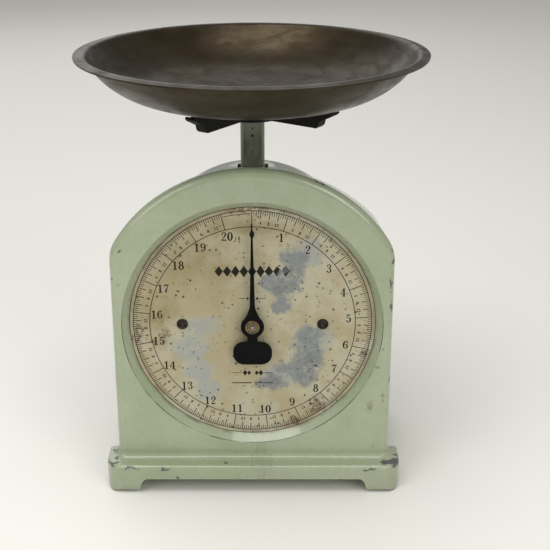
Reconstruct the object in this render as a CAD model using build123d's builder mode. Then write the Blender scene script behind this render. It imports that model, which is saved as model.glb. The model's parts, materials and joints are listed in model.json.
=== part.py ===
"""Dial kitchen scale: a cast casing with a round dial, a spring movement and a weighing bowl.

Millimetres. The origin is on the table, under the axis of the stem and the bowl.
+X is to the right of someone who reads the dial, +Y goes to the back, +Z is up.
Everything is drawn with the scale empty: the stem up and the pointer at zero.
"""
from build123d import *
from math import atan2, cos, degrees, hypot, pi, radians, sin, sqrt, tan
import os

# ---- casing ----
BODY_WIDTH = 187.0
FRONT_Y, BACK_Y = -52.0, 52.0
ARCH_R_FRONT, ARCH_Z_FRONT = 105.0, 125.2       # arch of the front outline and its centre
ARCH_R_BACK, ARCH_Z_BACK = 122.0, 78.5          # lower and flatter at the back, so the top falls away
SHOULDER_R = 26.0
EDGE_R = 5.0
WALL = 4.0
FRONT_WALL = 5.7
BASE_WIDTH, BASE_DEPTH = 203.0, 130.2
LEDGE_Z, APRON_Z, FLOOR_T = 21.3, 11.2, 4.0     # top of the ledge, lower edge of the apron
BASE_CORNER_R, BASE_EDGE_R, LEDGE_FILLET_R = 14.0, 2.6, 3.4
EAR_Y, EAR_CORNER_R, EAR_ROOT = 35.0, 3.0, 0.5  # between +-EAR_Y the base is no wider than the body
FOOT_LENGTH, FOOT_DEPTH, FOOT_TOE_R, FOOT_CURVE_R = 25.0, 25.0, 6.5, 5.5

# ---- back cover ----
COVER_T, COVER_INSET = 1.2, 1.0
COVER_TOP, COVER_BOTTOM, COVER_BOSS_R = (62.0, 174.5), (85.5, 34.0), 5.0

# ---- dial ----
DIAL_Z = 119.7
DIAL_VISIBLE_R, DIAL_BEVEL_R, DIAL_PLATE_R, DIAL_T = 82.5, 87.1, 86.5, 1.0
DIAL_Y = FRONT_Y + FRONT_WALL                   # front face of the dial
DIAL_SCREW_X, DIAL_SCREW_HEAD_R = 47.0, 3.85

# ---- slot in the top, on a level land ----
LAND_Z, LAND_HALF_WIDTH, LAND_SINK = 215.8, 44.0, 0.6
LAND_START_Y, LAND_FRONT_Y, LAND_BACK_Y, LAND_END_Y = -10.0, 1.0, 12.0, 38.0
SLOT_WIDTH, SLOT_DEPTH = 20.8, 18.0

# ---- rack and pinion: a full turn would be 20.85 units of load, and the dial is marked to 20 ----
MODULE, PINION_TEETH = 0.5, 16
PITCH_R = MODULE * PINION_TEETH / 2
DIAL_DIVISIONS, LOAD_DIVISIONS = 20.85, 20
TRAVEL = PITCH_R * 2 * pi * LOAD_DIVISIONS / DIAL_DIVISIONS
TOOTH_PITCH = pi * MODULE
ADDENDUM, DEDENDUM, PRESSURE_ANGLE = 0.40, 0.62, 20.0
TOOTH_T = 0.60                                  # thinner than half the pitch, for backlash
PINION_Y, PINION_FACE = -28.0, 5.0
RACK_BODY_T, RACK_FACE, RACK_GAP = 6.0, 5.6, 0.3
RACK_LOW_Z, RACK_TOOTH_TOP_Z = DIAL_Z - 6.0, DIAL_Z + TRAVEL + 7.0

# ---- pointer ----
POINTER_Y, POINTER_T = -51.6, 0.9               # front face and thickness of the blade
POINTER_TIP_R, HUB_R, BUSH_R = 73.5, 7.8, 5.0
BLADE_ROOT, BLADE_HALF_WIDTH, TIP_HALF_WIDTH, TIP_LENGTH = 14.5, 1.75, 0.45, 1.6
FLARE, SHOULDER = (3.0, 10.2), 5.5              # the blade widens through FLARE to the hub's shoulders
KIDNEY_Z, KIDNEY_WIDTH, KIDNEY_HEIGHT, KIDNEY_CORNER_R = -19.2, 26.1, 16.6, 7.4     # counterweight
NECK_WIDTH, NECK_FILLET_R = 6.6, 1.7
SPINDLE_R, RUN = 1.5, 0.05                      # RUN is the radial clearance of every running fit
SPINDLE_FRONT_Y, SPINDLE_BACK_Y = -54.2, -14.0
POINTER_BORE_R, BUSH_LENGTH = 2.6, 4.0

# ---- frame of the movement ----
WEB_Y, SHEET = -36.0, 2.0
FRAME_HALF_WIDTH, CHEEK_BACK_Y = 52.0, 46.0
FRAME_BOTTOM_Z, SHELF_Z = 62.0, 182.0
TOP_BOSS, BOTTOM_BOSS = (72.0, 178.0), (80.0, 45.0)
BOSS_R, FRAME_SCREW_R, STRAP_WIDTH = 5.0, 1.75, 12.0
BEARING_R = 4.0
BRIDGE_Y, BRIDGE_PILLAR_X, BRIDGE_HEIGHT = -18.0, 18.0, 16.0

# ---- stem, crosshead, springs ----
STEM_WIDTH, STEM_DEPTH, STEM_WALL = 16.0, 12.0, 2.0
STEM_TOP_Z, STEM_FOOT_Z = 250.8, 111.0
STEM_EDGE_R, STEM_PLUG = 2.0, 8.0               # solid end that takes the carrier's screw
GROOVE_WIDTH, GROOVE_DEPTH, GROOVE_END_Z = 10.5, 0.9, 220.6
STEM_HOLES = {243.8: 1.0, 238.4: 0.8, 227.2: 0.5}   # height: radius
SPRING_X, SPRING_R, WIRE_R, SPRING_PITCH = 35.0, 7.0, 1.1, 3.3
SPRING_LOW_Z, SPRING_HIGH_Z = 124.0, 184.0
PLUG_NUT_T, PLUG_COLLAR_T, PLUG_LENGTH = 3.0, 3.0, 15.0
CROSSHEAD_TOP_Z, CROSSHEAD_T, CROSSHEAD_DEPTH = 118.0, 7.0, 20.0
TAIL_WIDTH, PLUG_STUD_R = 30.0, 3.0
CROSSHEAD_SCREWS = [(-4.0, 114.5), (4.0, 114.5)]
BRACKET_Z, BRACKET_T, BRACKET_FOOT_Z = 158.0, 6.0, 145.5
BRACKET_SCREWS = [(-2.5, 148.8), (-2.5, 155.8)]

# ---- zero adjustment ----
ANCHOR_Z, ANCHOR_T = 191.5, 2.5
WHEEL_Y, WHEEL_R, WHEEL_T, WHEEL_Z = 41.0, 15.0, 5.0, 184.3
SCREW_R, WHEEL_WINDOW, WHEEL_NOTCHES = 2.5, 26.0, 40

# ---- stays: two equal links from a fixed pivot at the back to the stem ----
STAY_PIVOT_Y, STAY_PIN_R = 38.0, 2.0
STAY_HEIGHTS = {"upper": 150.0, "lower": 92.0}  # height of the moving pin when the scale is empty
STAY_T, STAY_BARREL_R, STAY_EAR_X = 2.0, 4.2, 10.5
UPPER_PIVOT_Z = STAY_HEIGHTS["upper"] - TRAVEL / 2
LOWER_PIVOT_Z = STAY_HEIGHTS["lower"] - TRAVEL / 2

# ---- carrier and bowl ----
CARRIER_TURN, CARRIER_DISC_R, CARRIER_DISC_T = 10.0, 20.0, 3.2
ARM_WIDTH, ARM_Z = 8.0, 250.5
PAD_START, PAD_END, PAD_GAP = 43.0, 50.0, 0.12
BOWL_Z, BOWL_BOTTOM_R, BOWL_SIDE_R = 257.7, 345.0, 56.64    # underside: a flat arc, then a tight one
BOWL_BOTTOM_ANGLE, BOWL_SIDE_ANGLE = 11.94, 59.1            # slope where each arc ends
BOWL_T, LIP_R, LIP_SLOPE, LIP_LENGTH = 1.2, 3.2, 12.0, 4.1


def upright(y):
    """Sketch plane that faces the reader at depth y: its X is the object's X, its Y the object's Z."""
    return Plane(origin=(0, y, 0), x_dir=(1, 0, 0), z_dir=(0, -1, 0))


def body_outline(y, arch_r, arch_z, inset, foot_z, shoulder_r):
    """Upright sides under a round arch."""
    half = BODY_WIDTH / 2 - inset
    radius = arch_r - inset
    spring_z = arch_z + sqrt(radius**2 - half**2)
    with BuildSketch(upright(y)) as outline:
        with BuildLine():
            Line((-half, foot_z), (-half, spring_z))
            ThreePointArc((-half, spring_z), (0, arch_z + radius), (half, spring_z))
            Line((half, spring_z), (half, foot_z))
            Line((half, foot_z), (-half, foot_z))
        make_face()
        fillet(outline.vertices().sort_by(Axis.Y)[-2:], shoulder_r - inset)
    return outline.sketch


def arch_at(y):
    """Radius and centre height of the lofted arch at depth y."""
    share = (y - FRONT_Y) / (BACK_Y - FRONT_Y)
    return (
        ARCH_R_FRONT + share * (ARCH_R_BACK - ARCH_R_FRONT),
        ARCH_Z_FRONT + share * (ARCH_Z_BACK - ARCH_Z_FRONT),
    )


def finish(part, label):
    part.label = label
    export_step(part, f"parts/{label}.step")


def boss(x, z, y_start, y_end, radius):
    """Round pillar along Y."""
    with BuildPart() as pillar:
        with BuildSketch(upright(y_start)) as circle:
            with Locations((x, z)):
                Circle(radius)
        extrude(amount=y_start - y_end)
    return pillar.part


def land_section(y, top_z):
    """Section of the raised land round the slot: a low arc whose ends lie just under the arch."""
    radius, centre_z = arch_at(y)
    side_z = centre_z + sqrt(radius**2 - LAND_HALF_WIDTH**2) - LAND_SINK
    corner = (LAND_HALF_WIDTH, side_z)
    with BuildSketch(upright(y)) as section:
        with BuildLine():
            ThreePointArc((-LAND_HALF_WIDTH, side_z), (0, top_z), corner)
            Polyline(
                corner,
                (LAND_HALF_WIDTH, side_z - WALL),
                (-LAND_HALF_WIDTH, side_z - WALL),
                (-LAND_HALF_WIDTH, side_z),
            )
        make_face()
    return section.sketch


def flush_section(y):
    """Section of the land just under the arch, where the land runs out."""
    radius, centre_z = arch_at(y)
    return land_section(y, centre_z + radius - LAND_SINK)


def base_outline():
    """Footprint of the base: round corners that stand out as ears, and sides drawn in to the body."""
    with BuildSketch() as outline:
        RectangleRounded(BASE_WIDTH, BASE_DEPTH, BASE_CORNER_R)
        with Locations((BASE_WIDTH / 2, 0), (-BASE_WIDTH / 2, 0)):
            Rectangle(BASE_WIDTH - BODY_WIDTH + 2 * EAR_ROOT, 2 * EAR_Y, mode=Mode.SUBTRACT)
        ear_corners = [v for v in outline.vertices() if abs(abs(v.X) - BASE_WIDTH / 2) < 0.1]
        fillet([v for v in ear_corners if abs(v.Y) < EAR_Y + 0.1], EAR_CORNER_R)
    return outline.sketch


def foot_profile(plane, half_length):
    """Side view of a foot: upright outside with a round toe, an S-curve on the inside."""
    outer, inner = half_length, half_length - FOOT_LENGTH
    with BuildSketch(plane) as profile:
        with BuildLine():
            Line((outer, LEDGE_Z - FLOOR_T), (outer, FOOT_TOE_R))
            RadiusArc((outer, FOOT_TOE_R), (outer - FOOT_TOE_R, 0), FOOT_TOE_R)
            Line((outer - FOOT_TOE_R, 0), (inner + FOOT_CURVE_R, 0))
            RadiusArc((inner + FOOT_CURVE_R, 0), (inner + 1, APRON_Z / 2), FOOT_CURVE_R + 2)
            RadiusArc((inner + 1, APRON_Z / 2), (inner - FOOT_CURVE_R / 2, APRON_Z), -FOOT_CURVE_R - 2)
            Polyline(
                (inner - FOOT_CURVE_R / 2, APRON_Z),
                (inner - FOOT_CURVE_R / 2, LEDGE_Z - FLOOR_T),
                (outer, LEDGE_Z - FLOOR_T),
            )
        make_face()
    return profile.sketch


os.makedirs("parts", exist_ok=True)

# ================= casing =================
with BuildPart() as foot:
    extrude(foot_profile(Plane.XZ, BASE_WIDTH / 2), amount=BASE_DEPTH / 2, both=True)
    extrude(foot_profile(Plane.YZ, BASE_DEPTH / 2), amount=BASE_WIDTH / 2, both=True, mode=Mode.INTERSECT)
    extrude(base_outline(), amount=LEDGE_Z, mode=Mode.INTERSECT)

with BuildPart() as ledge:
    with BuildSketch(Plane.XY.offset(APRON_Z)):
        add(base_outline())
    extrude(amount=LEDGE_Z - APRON_Z)
    top_edges = faces().sort_by(Axis.Z)[-1].edges()
    outer_edges = [e for e in top_edges if abs(e.center().X) > BODY_WIDTH / 2 or abs(e.center().Y) > EAR_Y]
    fillet(outer_edges, BASE_EDGE_R)

with BuildPart() as casing:
    loft(
        sections=[
            body_outline(FRONT_Y, ARCH_R_FRONT, ARCH_Z_FRONT, 0, APRON_Z, SHOULDER_R),
            body_outline(BACK_Y, ARCH_R_BACK, ARCH_Z_BACK, 0, APRON_Z, SHOULDER_R),
        ],
        ruled=True,
    )
    front = faces().sort_by(Axis.Y)[0]
    fillet([e for e in front.edges() if e.center().Z > APRON_Z + 1], EDGE_R)
    add(ledge.part)
    # the cove where the body meets the ledge and the backs of the ears
    beside_body = [e for e in edges() if abs(e.center().X) < BODY_WIDTH / 2 + 0.1]
    beside_body = [e for e in beside_body if abs(e.center().Y) < BACK_Y + 0.1]
    on_ledge = [e for e in beside_body if abs(e.center().Z - LEDGE_Z) < 0.01]
    at_side = [e for e in beside_body if abs(abs(e.center().X) - BODY_WIDTH / 2) < 0.01]
    behind_ears = [e for e in at_side if abs(e.center().Y) < EAR_Y + 3]
    down_ears = [e for e in behind_ears if APRON_Z + 1 < e.center().Z < LEDGE_Z - 0.1]
    fillet(on_ledge + down_ears, LEDGE_FILLET_R)
    add(foot.part)
    add(foot.part.mirror(Plane.YZ))
    add(foot.part.mirror(Plane.XZ))
    add(foot.part.mirror(Plane.YZ).mirror(Plane.XZ))
    # the level land round the stem's slot, which runs out into the falling top
    loft(
        sections=[
            flush_section(LAND_START_Y),
            land_section(LAND_FRONT_Y, LAND_Z),
            land_section(LAND_BACK_Y, LAND_Z),
            flush_section(LAND_END_Y),
        ]
    )
    # inside of the body, open at the back, and inside of the base, open below
    loft(
        sections=[
            body_outline(DIAL_Y, *arch_at(DIAL_Y), WALL, LEDGE_Z, SHOULDER_R),
            body_outline(BACK_Y + 1, *arch_at(BACK_Y + 1), WALL, LEDGE_Z, SHOULDER_R),
        ],
        ruled=True,
        mode=Mode.SUBTRACT,
    )
    # the back rim is flat, for the cover
    extrude(
        body_outline(BACK_Y, *arch_at(BACK_Y), 0, LEDGE_Z, SHOULDER_R),
        amount=-2 * LEDGE_FILLET_R,
        mode=Mode.SUBTRACT,
    )
    with BuildSketch(Plane.XY):
        RectangleRounded(BASE_WIDTH - 2 * WALL, BASE_DEPTH - 2 * WALL, BASE_CORNER_R - WALL)
        with GridLocations(BASE_WIDTH, BASE_DEPTH, 2, 2):
            Rectangle(2 * FOOT_LENGTH + FOOT_CURVE_R, 2 * FOOT_DEPTH + FOOT_CURVE_R, mode=Mode.SUBTRACT)
        with Locations((BASE_WIDTH / 2, 0), (-BASE_WIDTH / 2, 0)):
            Rectangle(BASE_WIDTH - BODY_WIDTH + 2 * WALL, BASE_DEPTH - 2 * FOOT_DEPTH, mode=Mode.SUBTRACT)
    extrude(amount=LEDGE_Z - FLOOR_T, mode=Mode.SUBTRACT)
    # dial opening with its bevelled edge
    with BuildSketch(upright(FRONT_Y)) as bevel_front:
        with Locations((0, DIAL_Z)):
            Circle(DIAL_BEVEL_R)
    with BuildSketch(upright(DIAL_Y)) as bevel_back:
        with Locations((0, DIAL_Z)):
            Circle(DIAL_VISIBLE_R)
    loft(sections=[bevel_front.sketch, bevel_back.sketch], mode=Mode.SUBTRACT)
    # slot for the stem
    with BuildSketch(Plane.XY.offset(SHELF_Z)):
        RectangleRounded(SLOT_WIDTH, SLOT_DEPTH, 1.5)
    extrude(amount=60, mode=Mode.SUBTRACT)
    # bosses for the frame's screws and for the cover's screws, with blind holes
    for side in (-1, 1):
        for x, z in (TOP_BOSS, BOTTOM_BOSS):
            add(boss(side * x, z, DIAL_Y - 1, WEB_Y, BOSS_R))
            add(boss(side * x, z, DIAL_Y + 1, WEB_Y, FRAME_SCREW_R), mode=Mode.SUBTRACT)
        for x, z in (COVER_TOP, COVER_BOTTOM):
            add(boss(side * x, z, BACK_Y - 12, BACK_Y, COVER_BOSS_R))
            add(boss(side * x, z, BACK_Y - 9, BACK_Y, FRAME_SCREW_R), mode=Mode.SUBTRACT)
finish(casing.part, "casing")


# ================= back cover =================
with BuildPart() as back_cover:
    cover_outline = body_outline(BACK_Y, *arch_at(BACK_Y), COVER_INSET, LEDGE_Z + COVER_INSET, SHOULDER_R)
    extrude(cover_outline, amount=-COVER_T)
    with BuildSketch(upright(BACK_Y)):
        for side in (-1, 1):
            with Locations((side * COVER_TOP[0], COVER_TOP[1]), (side * COVER_BOTTOM[0], COVER_BOTTOM[1])):
                Circle(FRAME_SCREW_R + 0.2)
        with Locations((0, WHEEL_Z + WHEEL_T / 2)):
            RectangleRounded(WHEEL_WINDOW, WHEEL_T + 3, 1)
    extrude(amount=-COVER_T, mode=Mode.SUBTRACT)
finish(back_cover.part, "back_cover")


def screw(origin, shank, length, head_r):
    """Round-head slotted screw whose head sits on origin and whose shank runs along the direction shank."""
    head_t = head_r * 0.6
    with BuildPart() as one:
        with BuildSketch(Plane.XZ):
            with BuildLine():
                Line((0, 0), (0, -head_t))
                ThreePointArc((0, -head_t), (head_r * 0.72, -head_t * 0.72), (head_r, 0))
                Line((head_r, 0), (0, 0))
            make_face()
        revolve(axis=Axis.Z)
        with BuildSketch():
            Circle(FRAME_SCREW_R - RUN)
        extrude(amount=length)
        with BuildSketch(Plane.XY.offset(-head_t)):
            Rectangle(3 * head_r, head_r * 0.24)
        extrude(amount=head_t * 0.5, mode=Mode.SUBTRACT)
    return Plane(origin=origin, x_dir=(1, 0, 0), z_dir=shank).location * one.part


def screw_group(label, places, head_y, length, head_r, facing):
    """Screws along Y. facing is -1 when the heads face the reader and 1 when they face back."""
    screws = [screw((x, head_y, z), (0, -facing, 0), length, head_r) for x, z in places]
    finish(Compound(children=screws), label)


def both_sides(*places):
    return [(side * x, z) for x, z in places for side in (-1, 1)]


screw_group("back_cover_screws", both_sides(COVER_TOP, COVER_BOTTOM), BACK_Y + COVER_T, 8.0, 3.4, 1)

# ================= dial =================
with BuildPart() as dial_plate:
    with BuildSketch(upright(DIAL_Y)):
        with Locations((0, DIAL_Z)):
            Circle(DIAL_PLATE_R)
            Circle(SPINDLE_R + 2.5, mode=Mode.SUBTRACT)
        with Locations((-DIAL_SCREW_X, DIAL_Z), (DIAL_SCREW_X, DIAL_Z)):
            Circle(FRAME_SCREW_R + RUN, mode=Mode.SUBTRACT)
    extrude(amount=-DIAL_T)
finish(dial_plate.part, "dial_plate")
screw_group("dial_screws", both_sides((DIAL_SCREW_X, DIAL_Z)), DIAL_Y, 6.0, DIAL_SCREW_HEAD_R, -1)

dial_posts = []
for x, z in both_sides((DIAL_SCREW_X, DIAL_Z)):
    with BuildPart() as post:
        add(boss(x, z, DIAL_Y + DIAL_T, WEB_Y, 4.0))
        add(boss(x, z, DIAL_Y + DIAL_T, WEB_Y - 2, FRAME_SCREW_R + RUN), mode=Mode.SUBTRACT)
    dial_posts.append(post.part)
finish(Compound(children=dial_posts), "dial_posts")

# ================= frame of the movement =================
with BuildPart() as mechanism_frame:
    # web behind the dial, with two straps that reach the casing's bosses
    with BuildSketch(upright(WEB_Y)):
        with Locations((0, (FRAME_BOTTOM_Z + SHELF_Z + SHEET) / 2)):
            Rectangle(2 * FRAME_HALF_WIDTH, SHELF_Z + SHEET - FRAME_BOTTOM_Z)
        for x, z in (TOP_BOSS, BOTTOM_BOSS):
            with Locations((0, z)):
                SlotCenterToCenter(2 * x, STRAP_WIDTH)
        with Locations((0, (FRAME_BOTTOM_Z + BOTTOM_BOSS[1]) / 2)):
            Rectangle(STRAP_WIDTH * 4, FRAME_BOTTOM_Z - BOTTOM_BOSS[1] + 4)
        with Locations(*both_sides(TOP_BOSS, BOTTOM_BOSS)):
            Circle(FRAME_SCREW_R + 0.2, mode=Mode.SUBTRACT)
        with Locations((0, DIAL_Z)):
            Circle(BEARING_R, mode=Mode.SUBTRACT)
        for z in (DIAL_Z + 34, DIAL_Z - 34):
            with Locations((-BRIDGE_PILLAR_X - 6, z), (BRIDGE_PILLAR_X + 6, z)):
                RectangleRounded(26, 28, 5, mode=Mode.SUBTRACT)
    extrude(amount=-SHEET)
    # shelf on top: the stem, both springs and the zero screw pass through it
    with BuildSketch(Plane.XY.offset(SHELF_Z)):
        with Locations((0, (WEB_Y + CHEEK_BACK_Y) / 2)):
            Rectangle(2 * FRAME_HALF_WIDTH, CHEEK_BACK_Y - WEB_Y)
        Rectangle(STEM_WIDTH + 4, STEM_DEPTH + 6, mode=Mode.SUBTRACT)
        with Locations((-SPRING_X, 0), (SPRING_X, 0)):
            Circle(SPRING_R + WIRE_R + 2, mode=Mode.SUBTRACT)
        with Locations((0, WHEEL_Y)):
            Circle(SCREW_R + 0.5, mode=Mode.SUBTRACT)
    extrude(amount=SHEET)
    # two cheeks that carry the fixed pivots of the stays
    for side in (-1, 1):
        with BuildSketch(Plane.YZ.offset(side * (FRAME_HALF_WIDTH - SHEET / 2))):
            with BuildLine():
                Polyline(
                    (WEB_Y, SHELF_Z + SHEET),
                    (CHEEK_BACK_Y, SHELF_Z + SHEET),
                    (CHEEK_BACK_Y, LOWER_PIVOT_Z - 10),
                    (WEB_Y + 30, LOWER_PIVOT_Z - 10),
                    (WEB_Y, FRAME_BOTTOM_Z),
                    close=True,
                )
            make_face()
            with Locations((STAY_PIVOT_Y, UPPER_PIVOT_Z), (STAY_PIVOT_Y, LOWER_PIVOT_Z)):
                Circle(STAY_PIN_R + RUN, mode=Mode.SUBTRACT)
            with Locations((0, 130)):
                RectangleRounded(46, 70, 10, mode=Mode.SUBTRACT)
        extrude(amount=SHEET / 2, both=True)
finish(mechanism_frame.part, "mechanism_frame")
screw_group("frame_screws", both_sides(TOP_BOSS, BOTTOM_BOSS), WEB_Y + SHEET, 8.0, 3.4, 1)


def bearing(label, wall_y):
    """Flanged brass bush pressed into a plate whose back face is at wall_y."""
    with BuildPart() as bush:
        add(boss(0, DIAL_Z, wall_y - SHEET, wall_y, BEARING_R))
        add(boss(0, DIAL_Z, wall_y, wall_y + 1, BEARING_R + 1.5))
        add(boss(0, DIAL_Z, wall_y - SHEET, wall_y + 1, SPINDLE_R + RUN), mode=Mode.SUBTRACT)
    finish(bush.part, label)


bearing("front_bearing", WEB_Y + SHEET)
bearing("rear_bearing", BRIDGE_Y)

with BuildPart() as bearing_bridge:
    with BuildSketch(upright(BRIDGE_Y - SHEET)):
        with Locations((0, DIAL_Z)):
            RectangleRounded(2 * BRIDGE_PILLAR_X + 10, BRIDGE_HEIGHT, 4)
            Circle(BEARING_R, mode=Mode.SUBTRACT)
    extrude(amount=-SHEET)
    for x, z in both_sides((BRIDGE_PILLAR_X, DIAL_Z)):
        add(boss(x, z, WEB_Y + SHEET, BRIDGE_Y - SHEET, 4.0))
        add(boss(x, z, BRIDGE_Y - 10, BRIDGE_Y, FRAME_SCREW_R), mode=Mode.SUBTRACT)
finish(bearing_bridge.part, "bearing_bridge")
screw_group("bridge_screws", both_sides((BRIDGE_PILLAR_X, DIAL_Z)), BRIDGE_Y, 8.0, 3.2, 1)

# ================= pinion, rack, pointer =================
with BuildPart() as pinion:
    with BuildSketch(upright(PINION_Y - PINION_FACE / 2)):
        with Locations((0, DIAL_Z)):
            Circle(PITCH_R - DEDENDUM)
            with PolarLocations(PITCH_R, PINION_TEETH):
                tip, root = TOOTH_T - 2 * ADDENDUM * tan(radians(PRESSURE_ANGLE)), TOOTH_T + 0.3
                Polygon((-0.9, -root / 2), (0, -TOOTH_T / 2), (ADDENDUM, -tip / 2), (ADDENDUM, tip / 2),
                        (0, TOOTH_T / 2), (-0.9, root / 2), align=None)
        with Locations((0, DIAL_Z)):
            Circle(SPINDLE_R, mode=Mode.SUBTRACT)
    extrude(amount=-PINION_FACE)
finish(pinion.part, "pinion")

with BuildPart() as pinion_spindle:
    add(boss(0, DIAL_Z, SPINDLE_FRONT_Y, SPINDLE_BACK_Y, SPINDLE_R))
    fillet(edges().filter_by(GeomType.CIRCLE).sort_by(Axis.Y)[0], SPINDLE_R * 0.7)
finish(pinion_spindle.part, "pinion_spindle")

with BuildPart() as rack:
    first = -int((DIAL_Z - RACK_LOW_Z) / TOOTH_PITCH)
    last = int((RACK_TOOTH_TOP_Z - DIAL_Z) / TOOTH_PITCH)
    with BuildSketch(upright(PINION_Y - RACK_FACE / 2)):
        with BuildLine():
            Polyline(
                (PITCH_R + DEDENDUM, RACK_LOW_Z),
                (PITCH_R + RACK_BODY_T, RACK_LOW_Z),
                (PITCH_R + RACK_BODY_T, BRACKET_Z),
                (PITCH_R + DEDENDUM, BRACKET_Z),
                close=True,
            )
        make_face()
        for tooth in range(first, last):
            middle = DIAL_Z + (tooth + 0.5) * TOOTH_PITCH
            slope = tan(radians(PRESSURE_ANGLE))
            tip, root = TOOTH_T / 2 - ADDENDUM * slope, TOOTH_T / 2 + (DEDENDUM + 0.1) * slope
            with BuildLine():
                Polyline(
                    (PITCH_R + DEDENDUM + 0.1, middle - root),
                    (PITCH_R - ADDENDUM, middle - tip),
                    (PITCH_R - ADDENDUM, middle + tip),
                    (PITCH_R + DEDENDUM + 0.1, middle + root),
                    close=True,
                )
            make_face()
    extrude(amount=-RACK_FACE)
finish(rack.part, "rack")

with BuildPart() as rack_guide:
    # pad that backs the rack where it meets the pinion
    with BuildSketch(upright(WEB_Y + SHEET)):
        with Locations((PITCH_R + RACK_BODY_T + RACK_GAP + 1.25, DIAL_Z)):
            Rectangle(2.5, BRIDGE_HEIGHT)
    extrude(amount=WEB_Y + SHEET - PINION_Y - RACK_FACE / 2)
finish(rack_guide.part, "rack_guide")

pointer_plane = Plane(origin=(0, POINTER_Y, DIAL_Z), x_dir=(1, 0, 0), z_dir=(0, -1, 0))
with BuildPart() as pointer:
    with BuildSketch(pointer_plane):
        Circle(HUB_R)
        with BuildLine():
            Polyline(
                (BLADE_HALF_WIDTH, BLADE_ROOT),
                (TIP_HALF_WIDTH, POINTER_TIP_R - TIP_LENGTH),
                (0, POINTER_TIP_R),
                (-TIP_HALF_WIDTH, POINTER_TIP_R - TIP_LENGTH),
                (-BLADE_HALF_WIDTH, BLADE_ROOT),
            )
            # the blade flares into the hub in two hollow curves
            for side in (1, -1):
                blade_foot = (side * BLADE_HALF_WIDTH, BLADE_ROOT)
                Spline(blade_foot, (side * FLARE[0], FLARE[1]), (side * SHOULDER, SHOULDER))
            Line((SHOULDER, SHOULDER), (-SHOULDER, SHOULDER))
        make_face()
        with Locations((0, KIDNEY_Z)):
            RectangleRounded(KIDNEY_WIDTH, KIDNEY_HEIGHT, KIDNEY_CORNER_R)
        with Locations((0, KIDNEY_Z / 2)):
            Rectangle(NECK_WIDTH, -KIDNEY_Z)
        neck_corners = [v for v in vertices() if abs(abs(v.X) - NECK_WIDTH / 2) < 0.05]
        fillet(neck_corners, NECK_FILLET_R)
        Circle(POINTER_BORE_R, mode=Mode.SUBTRACT)
    extrude(amount=-POINTER_T)
finish(pointer.part, "pointer")

with BuildPart() as pointer_bush:
    add(boss(0, DIAL_Z, POINTER_Y - 1.0, POINTER_Y, BUSH_R))
    add(boss(0, DIAL_Z, POINTER_Y, POINTER_Y + BUSH_LENGTH, POINTER_BORE_R))
    add(boss(0, DIAL_Z, POINTER_Y - 1.0, POINTER_Y + BUSH_LENGTH, SPINDLE_R), mode=Mode.SUBTRACT)
    chamfer(edges().filter_by(GeomType.CIRCLE).sort_by(Axis.Y)[:2].sort_by(SortBy.LENGTH)[-1], 0.4)
finish(pointer_bush.part, "pointer_bush")

# ================= stem, crosshead, rack bracket =================
with BuildPart() as stem:
    with BuildSketch(Plane.XY.offset(STEM_FOOT_Z)):
        RectangleRounded(STEM_WIDTH, STEM_DEPTH, STEM_EDGE_R)
    extrude(amount=STEM_TOP_Z - STEM_FOOT_Z)
    with BuildSketch(Plane.XY.offset(STEM_FOOT_Z)):
        Rectangle(STEM_WIDTH - 2 * STEM_WALL, STEM_DEPTH - 2 * STEM_WALL)
    extrude(amount=STEM_TOP_Z - STEM_PLUG - STEM_FOOT_Z, mode=Mode.SUBTRACT)
    # pressed groove down the front, with a round lower end
    with BuildSketch(upright(-STEM_DEPTH / 2)):
        with Locations((0, (GROOVE_END_Z + STEM_TOP_Z) / 2 + GROOVE_WIDTH / 2)):
            SlotOverall(STEM_TOP_Z - GROOVE_END_Z + GROOVE_WIDTH, GROOVE_WIDTH, rotation=90)
    extrude(amount=-GROOVE_DEPTH, mode=Mode.SUBTRACT)
    for height, radius in STEM_HOLES.items():
        add(boss(0, height, -STEM_DEPTH / 2, -STEM_DEPTH / 2 + STEM_WALL, radius), mode=Mode.SUBTRACT)
    with BuildSketch(Plane.XY.offset(STEM_TOP_Z - STEM_PLUG)):
        Circle(FRAME_SCREW_R)
    extrude(amount=STEM_PLUG, mode=Mode.SUBTRACT)
    for x, z in CROSSHEAD_SCREWS + BRACKET_SCREWS:
        add(boss(x, z, -STEM_DEPTH / 2, -STEM_DEPTH / 2 + STEM_WALL, FRAME_SCREW_R), mode=Mode.SUBTRACT)
    with BuildSketch(Plane.YZ):
        with Locations((0, STAY_HEIGHTS["upper"])):
            Circle(STAY_PIN_R)
    extrude(amount=STEM_WIDTH, both=True, mode=Mode.SUBTRACT)
finish(stem.part, "stem")

with BuildPart() as crosshead:
    crosshead_low = CROSSHEAD_TOP_Z - CROSSHEAD_T
    with BuildSketch(Plane.XY.offset(crosshead_low)):
        RectangleRounded(2 * SPRING_X + 18, CROSSHEAD_DEPTH, 4)
        Rectangle(STEM_WIDTH + 2 * RUN, STEM_DEPTH + 2 * RUN, mode=Mode.SUBTRACT)
        with Locations((-SPRING_X, 0), (SPRING_X, 0)):
            Circle(PLUG_STUD_R + RUN, mode=Mode.SUBTRACT)
    extrude(amount=CROSSHEAD_T)
    for x, z in CROSSHEAD_SCREWS:
        add(boss(x, z, -CROSSHEAD_DEPTH / 2, -STEM_DEPTH / 2, FRAME_SCREW_R), mode=Mode.SUBTRACT)
    # tail of two ears that carries the lower stay's pin
    for side in (-1, 1):
        with BuildSketch(Plane.YZ.offset(side * (TAIL_WIDTH - SHEET) / 2)):
            with Locations((0, (STAY_HEIGHTS["lower"] + STEM_FOOT_Z) / 2 - 3)):
                Rectangle(STEM_DEPTH, STEM_FOOT_Z - STAY_HEIGHTS["lower"] + 6)
            with Locations((0, STAY_HEIGHTS["lower"])):
                Circle(STAY_PIN_R, mode=Mode.SUBTRACT)
        extrude(amount=SHEET / 2, both=True)
finish(crosshead.part, "crosshead")
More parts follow.
